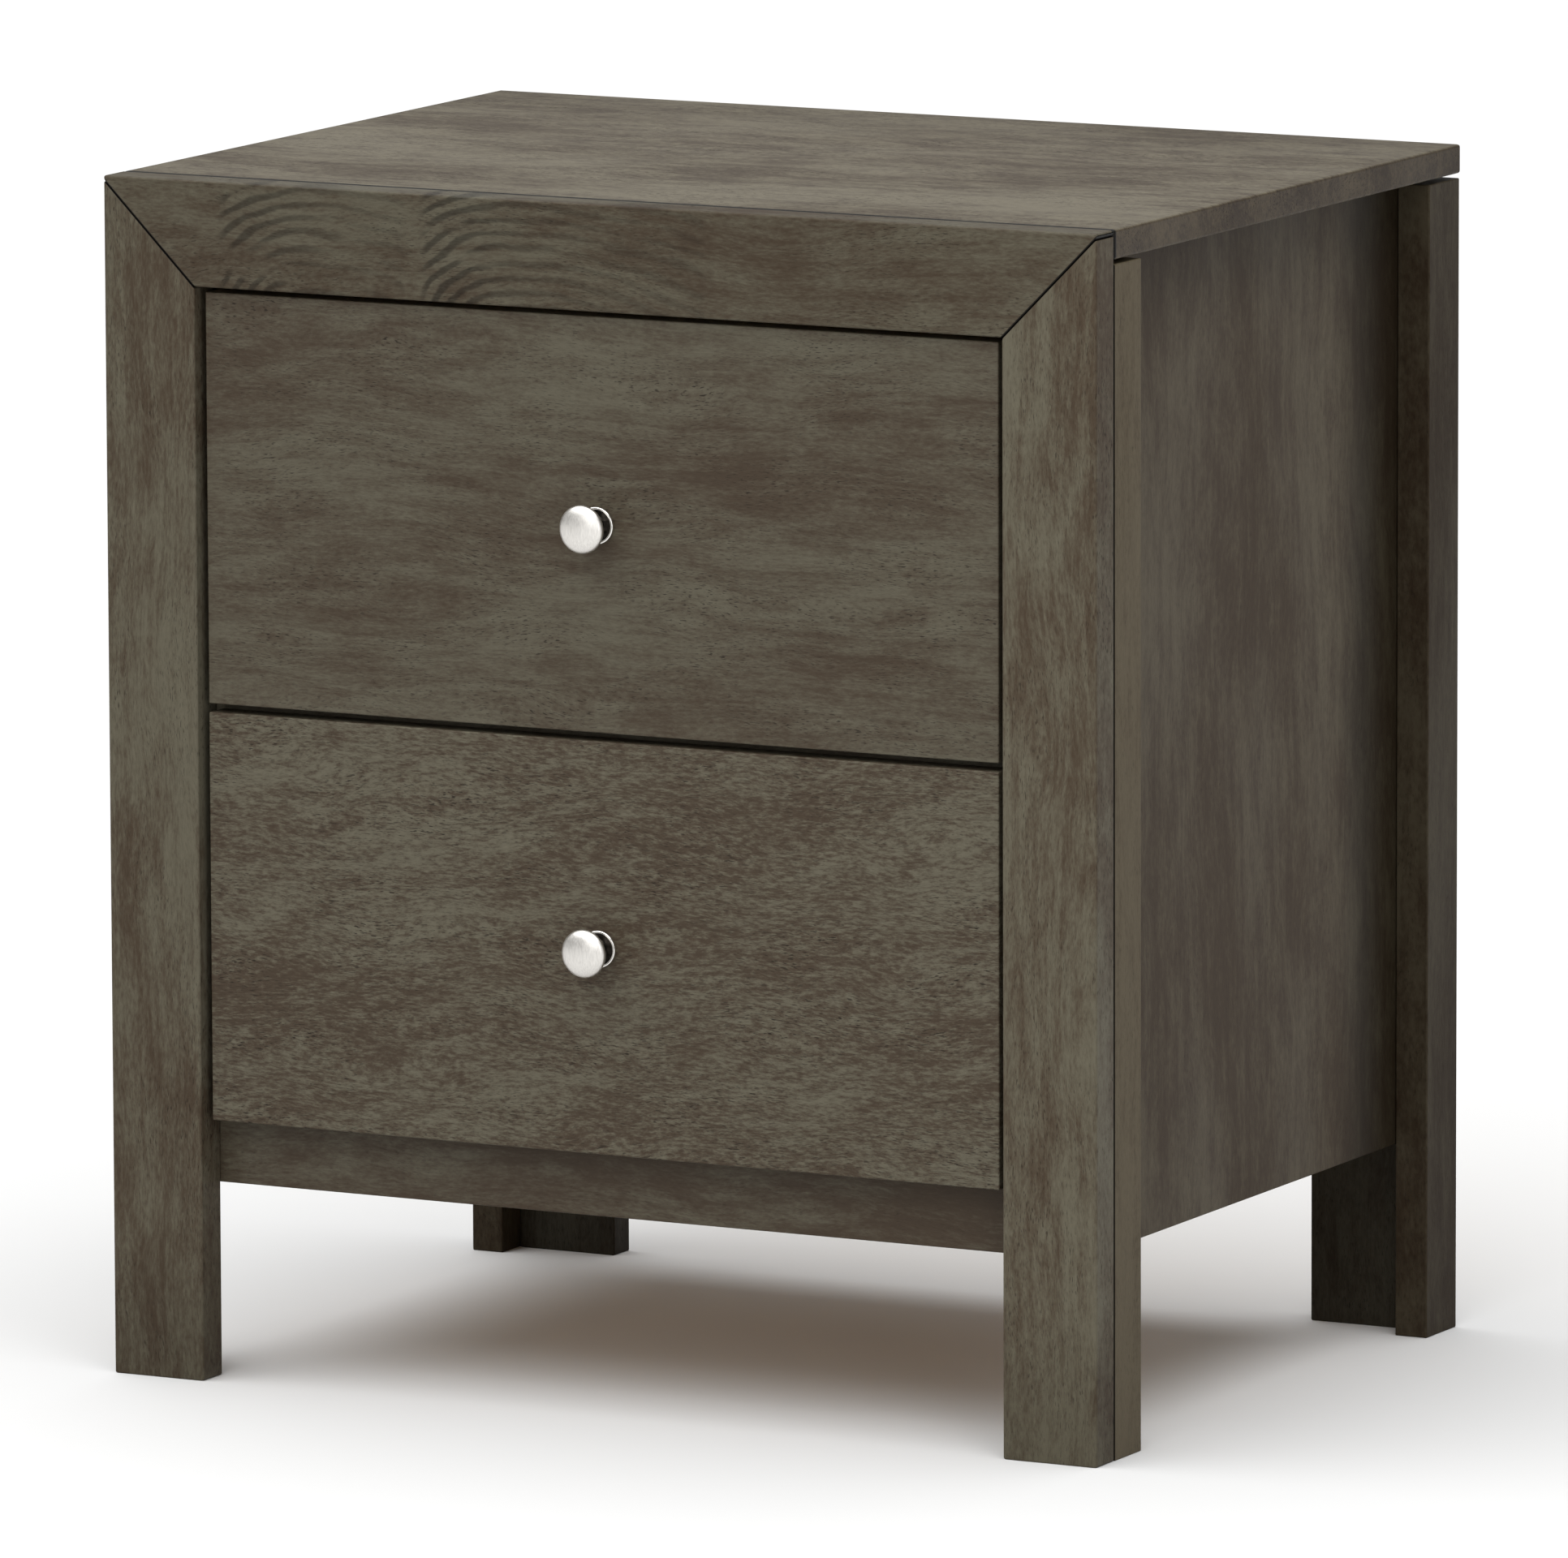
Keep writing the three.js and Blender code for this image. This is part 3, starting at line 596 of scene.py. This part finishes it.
def turned(name, profile, body, face_y, mid_z, materials, closed=True, inner=()):
    """A turned piece on an axis along Y. Its profile is (radius, distance out from face_y) in mm.

    The steps of the profile listed in `inner` take the second material.
    """
    mesh = bpy.data.meshes.new(name)
    shape = bmesh.new()
    rings = []
    for radius, out in profile:
        y = face_y - out * MM
        if radius < 1e-6:
            rings.append([shape.verts.new((0, y, mid_z))])
            continue
        ring = []
        for step in range(KNOB_ROUND):
            turn = 2 * math.pi * step / KNOB_ROUND
            x, z = radius * MM * math.cos(turn), mid_z + radius * MM * math.sin(turn)
            ring.append(shape.verts.new((x, y, z)))
        rings.append(ring)
    pairs = list(zip(rings, rings[1:]))
    if closed:
        pairs.append((rings[-1], rings[0]))
    for step, (first, second) in enumerate(pairs):
        for i in range(KNOB_ROUND):
            corners = [first[i % len(first)], first[(i + 1) % len(first)]]
            corners += [second[(i + 1) % len(second)], second[i % len(second)]]
            distinct = list(dict.fromkeys(corners))
            if len(distinct) > 2:
                shape.faces.new(distinct).material_index = int(step in inner)
    bmesh.ops.recalc_face_normals(shape, faces=shape.faces[:])
    for face in shape.faces:
        face.smooth = True
    shape.to_mesh(mesh)
    shape.free()
    mesh.set_sharp_from_angle(angle=KNOB_SHARP)
    piece = bpy.data.objects.new(name, mesh)
    scene.collection.objects.link(piece)
    for material in materials:
        mesh.materials.append(material)
    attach(piece, body)
    return piece


def make_knobs(steel):
    satin, polished, recess_shade = satin_nickel(), polished_nickel(), painted_shade_nickel()
    for drawer in DRAWERS:
        low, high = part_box(f"{drawer}_knob_base")
        mid_z = (low.z + high.z) / 2
        face_y = high.y
        body = f"{drawer}_drawer"

        rim = KNOB_BASE_RADIUS
        base = [(KNOB_BORE, 0), (rim - 0.3, 0), (rim, 0.3)]
        for step in range(KNOB_BEAD_STEPS + 1):
            turn = step / KNOB_BEAD_STEPS * math.pi
            reach, rise = KNOB_BEAD * math.cos(turn), KNOB_BEAD * math.sin(turn)
            base.append((rim - KNOB_BEAD + reach, KNOB_BASE_THICK - KNOB_BEAD + rise))
        base += [(rim - 1.9, KNOB_RECESS_OUT), (KNOB_NECK_RADIUS + 0.8, KNOB_RECESS_OUT)]
        base += [(KNOB_NECK_RADIUS, 0.9), (KNOB_NECK_RADIUS, KNOB_BASE_THICK)]
        base += [(KNOB_BORE, KNOB_BASE_THICK)]
        # The rosette's recess takes the dark nickel as painted shade.
        piece = turned(f"{drawer}_knob_rosette", base, body, face_y, mid_z, [polished, recess_shade],
                       inner=KNOB_RECESS_STEPS)
        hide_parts(f"{drawer}_knob_base")

        neck_start = KNOB_BASE_THICK + KNOB_SEAT
        rim_under = (KNOB_HEAD_RADIUS - 0.4, KNOB_UNDER_OUT)
        head = [(0, KNOB_SOCKET_OUT), (KNOB_BORE, KNOB_SOCKET_OUT), (KNOB_BORE, neck_start)]
        head += [(KNOB_NECK_RADIUS - 0.2, neck_start), (KNOB_NECK_RADIUS, neck_start + 0.2)]
        head += arc((KNOB_NECK_RADIUS, KNOB_NECK_OUT), rim_under)
        head += [(KNOB_HEAD_RADIUS - 0.1, KNOB_UNDER_OUT + 0.15)]
        head += [(KNOB_HEAD_RADIUS, KNOB_UNDER_OUT + 0.45)]
        dome = arc((KNOB_HEAD_RADIUS, KNOB_RIM_OUT), (0, KNOB_TOP_OUT), KNOB_DOME_STEPS)
        head += dome[:-1] + [(0, KNOB_TOP_OUT)]
        piece = turned(f"{drawer}_knob", head, body, face_y, mid_z, [satin], closed=False)
        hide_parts(f"{drawer}_knob_head")

        dress(f"{drawer}_knob_screw", steel, 0.3 * MM)


# ---------------------------------------------------------------- small hardware
BACK_SCREWS = 5  # in each row
BACK_SCREW_REACH = 190
BACK_SCREW_IN = 14
BALL_RADIUS = 2.1
BALLS = 12
BALL_PITCH = 12.5
BALLS_FROM_BACK = 9  # the last ball, from the case member's rear end
CAGE_THICK = 0.6
CAGE_LIP = 1.2  # how far the cage's flanges reach past the balls' middles
OUTER_WEB, OUTER_BALLS = 1.8, 7.0  # the outer cage's web and balls, in from a slide's outer face
INNER_WEB, INNER_BALLS = 4.3, 7.8
OUTER_ROW, INNER_ROW = 19.15, 13.65  # the ball rows' distance above and below a slide's middle
DRAWER_WEB = 11.5  # from a slide's outer face in to the drawer member's web
SCREW_HEAD_RADIUS = 3.4
SCREW_HEAD_RISE = 1.4
SCREW_SIDES = 24
RECESS_ARM, RECESS_WAIST = 0.42, 0.16  # the cross recess's reach, in head radii
RECESS_DEEP = 0.8
SLIDE_SCREW_FRONT, SLIDE_SCREW_BACK = 28, 60  # in from the slide's two ends; a third is in the middle
FRONT_SCREWS_X = (-165, -70, 70, 165)
FRONT_SCREWS_UP = 42  # above and below the box front's middle
BACK_SCREW_RADIUS = 3.0
BACK_SCREW_RISE = 1.0


def finish_piece(name, shape, body, materials):
    """Makes a piece from a bmesh and gives it its body and slot."""
    mesh = bpy.data.meshes.new(name)
    bmesh.ops.recalc_face_normals(shape, faces=shape.faces[:])
    shape.to_mesh(mesh)
    shape.free()
    piece = bpy.data.objects.new(name, mesh)
    scene.collection.objects.link(piece)
    for material in materials:
        mesh.materials.append(material)
    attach(piece, body)
    return piece


def add_bar(shape, low, high):
    """A block between two corners, in millimetres."""
    middle = [(a + b) / 2 * MM for a, b in zip(low, high)]
    size = [abs(b - a) * MM for a, b in zip(low, high)]
    place = Matrix.Translation(middle) @ Matrix.Diagonal((*size, 1))
    bmesh.ops.create_cube(shape, size=1, matrix=place)


def add_ball(shape, centre):
    place = Matrix.Translation([c * MM for c in centre])
    made = bmesh.ops.create_icosphere(shape, subdivisions=2, radius=BALL_RADIUS * MM, matrix=place)
    for face in {face for vert in made["verts"] for face in vert.link_faces}:
        face.smooth = True


def ball_cage(name, body, web, balls, centre, first_y, steel):
    """Two rows of balls between two slide members' flanges, kept apart by a U-shaped strip of steel.

    `web` and `balls` are the X of the strip's middle part and of the balls; `centre` is the (Z, half
    height) of the rows.
    """
    shape = bmesh.new()
    start, end = first_y - BALL_PITCH / 2, first_y + BALL_PITCH * (BALLS - 0.5)
    lip = balls + math.copysign(CAGE_LIP, balls - web)
    z, high = centre
    for up in (-1, 1):
        row = z + up * high
        for step in range(BALLS):
            add_ball(shape, (balls, first_y + BALL_PITCH * step, row))
        add_bar(shape, (web, start, row - CAGE_THICK / 2), (lip, end, row + CAGE_THICK / 2))
    add_bar(shape, (web - CAGE_THICK / 2, start, z - high), (web + CAGE_THICK / 2, end, z + high))
    finish_piece(name, shape, body, [steel])


def ring_points(radius, up):
    """Points round a screw's axis, in metres, from a radius and a height in millimetres."""
    points = []
    for step in range(SCREW_SIDES):
        turn = 2 * math.pi / SCREW_SIDES * step
        points.append(Vector((radius * math.cos(turn) * MM, radius * math.sin(turn) * MM, up * MM)))
    return points


def screw_head(shape, centre, normal, radius=SCREW_HEAD_RADIUS, rise=SCREW_HEAD_RISE):
    """A low pan head with a cross recess, flat against a face that looks along `normal`."""
    facing = Vector(normal).to_track_quat("Z", "Y").to_matrix().to_4x4()
    place = Matrix.Translation([c * MM for c in centre]) @ facing
    rings = [(radius, 0.0), (radius, rise * 0.35), (radius * 0.8, rise * 0.8), (radius * 0.45, rise)]
    loops = []
    for ring_radius, up in rings:
        loops.append([shape.verts.new(place @ point) for point in ring_points(ring_radius, up)])
    arms = ring_points(radius * RECESS_ARM, rise * 0.98)
    waists = ring_points(radius * RECESS_WAIST, rise * 0.98)
    cross = []
    for step in range(SCREW_SIDES):
        point = arms[step] if step % 6 in (0, 1, 5) else waists[step]  # four arms, one every six steps
        cross.append(shape.verts.new(place @ point))
    loops.append(cross)
    down = facing @ Vector((0, 0, RECESS_DEEP * MM))
    floor = [shape.verts.new(vert.co - down) for vert in cross]
    loops.append(floor)
    for number, (first, second) in enumerate(zip(loops, loops[1:])):
        for i in range(SCREW_SIDES):
            after = (i + 1) % SCREW_SIDES
            face = shape.faces.new((first[i], first[after], second[after], second[i]))
            face.smooth = number < len(rings) - 1  # the recess stays sharp
    shape.faces.new(floor)
    shape.faces.new(list(reversed(loops[0])))


def make_hardware(steel):
    for drawer in DRAWERS:
        for side, sign in SIDES.items():
            low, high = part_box(f"{drawer}_{side}_slide_case_member")
            front, back = low.y / MM, high.y / MM
            mid_z = (low.z + high.z) / 2 / MM
            outer = (high.x if sign > 0 else low.x) / MM
            first_y = back - BALLS_FROM_BACK - BALL_PITCH * (BALLS - 1)
            web, balls = outer - sign * OUTER_WEB, outer - sign * OUTER_BALLS
            ball_cage(f"{drawer}_{side}_outer_ball_cage", f"{drawer}_slide_middles",
                      web, balls, (mid_z, OUTER_ROW), first_y, steel)
            web, balls = outer - sign * INNER_WEB, outer - sign * INNER_BALLS
            ball_cage(f"{drawer}_{side}_inner_ball_cage", f"{drawer}_drawer",
                      web, balls, (mid_z, INNER_ROW), first_y, steel)

            # Screws through the drawer member, seen from outside when the drawer is out.
            shape = bmesh.new()
            for y in (front + SLIDE_SCREW_FRONT, (front + back) / 2, back - SLIDE_SCREW_BACK):
                screw_head(shape, (outer - sign * DRAWER_WEB, y, mid_z), (sign, 0, 0))
            finish_piece(
                f"{drawer}_{side}_slide_screws", shape, f"{drawer}_drawer", [steel])

        # Screws through the box's front into the drawer front.
        shape = bmesh.new()
        low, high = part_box(f"{drawer}_drawer_box_front")
        mid_z = (low.z + high.z) / 2 / MM
        for x in FRONT_SCREWS_X:
            for z in (mid_z - FRONT_SCREWS_UP, mid_z + FRONT_SCREWS_UP):
                screw_head(shape, (x, high.y / MM, z), (0, 1, 0))
        finish_piece(f"{drawer}_front_fixing_screws", shape, f"{drawer}_drawer", [steel])

    # Screws through the back panel into the rails above and below.
    shape = bmesh.new()
    low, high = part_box("back_panel")
    for step in range(BACK_SCREWS):
        x = BACK_SCREW_REACH * (2 * step / (BACK_SCREWS - 1) - 1)
        for z in (low.z / MM + BACK_SCREW_IN, high.z / MM - BACK_SCREW_IN):
            screw_head(shape, (x, high.y / MM, z), (0, 1, 0), BACK_SCREW_RADIUS, BACK_SCREW_RISE)
    finish_piece("back_panel_screws", shape, "case", [steel])


make_camera()
make_studio()
dress_case()
steel = zinc_steel()
dress_drawers(steel)
make_knobs(steel)
make_hardware(steel)
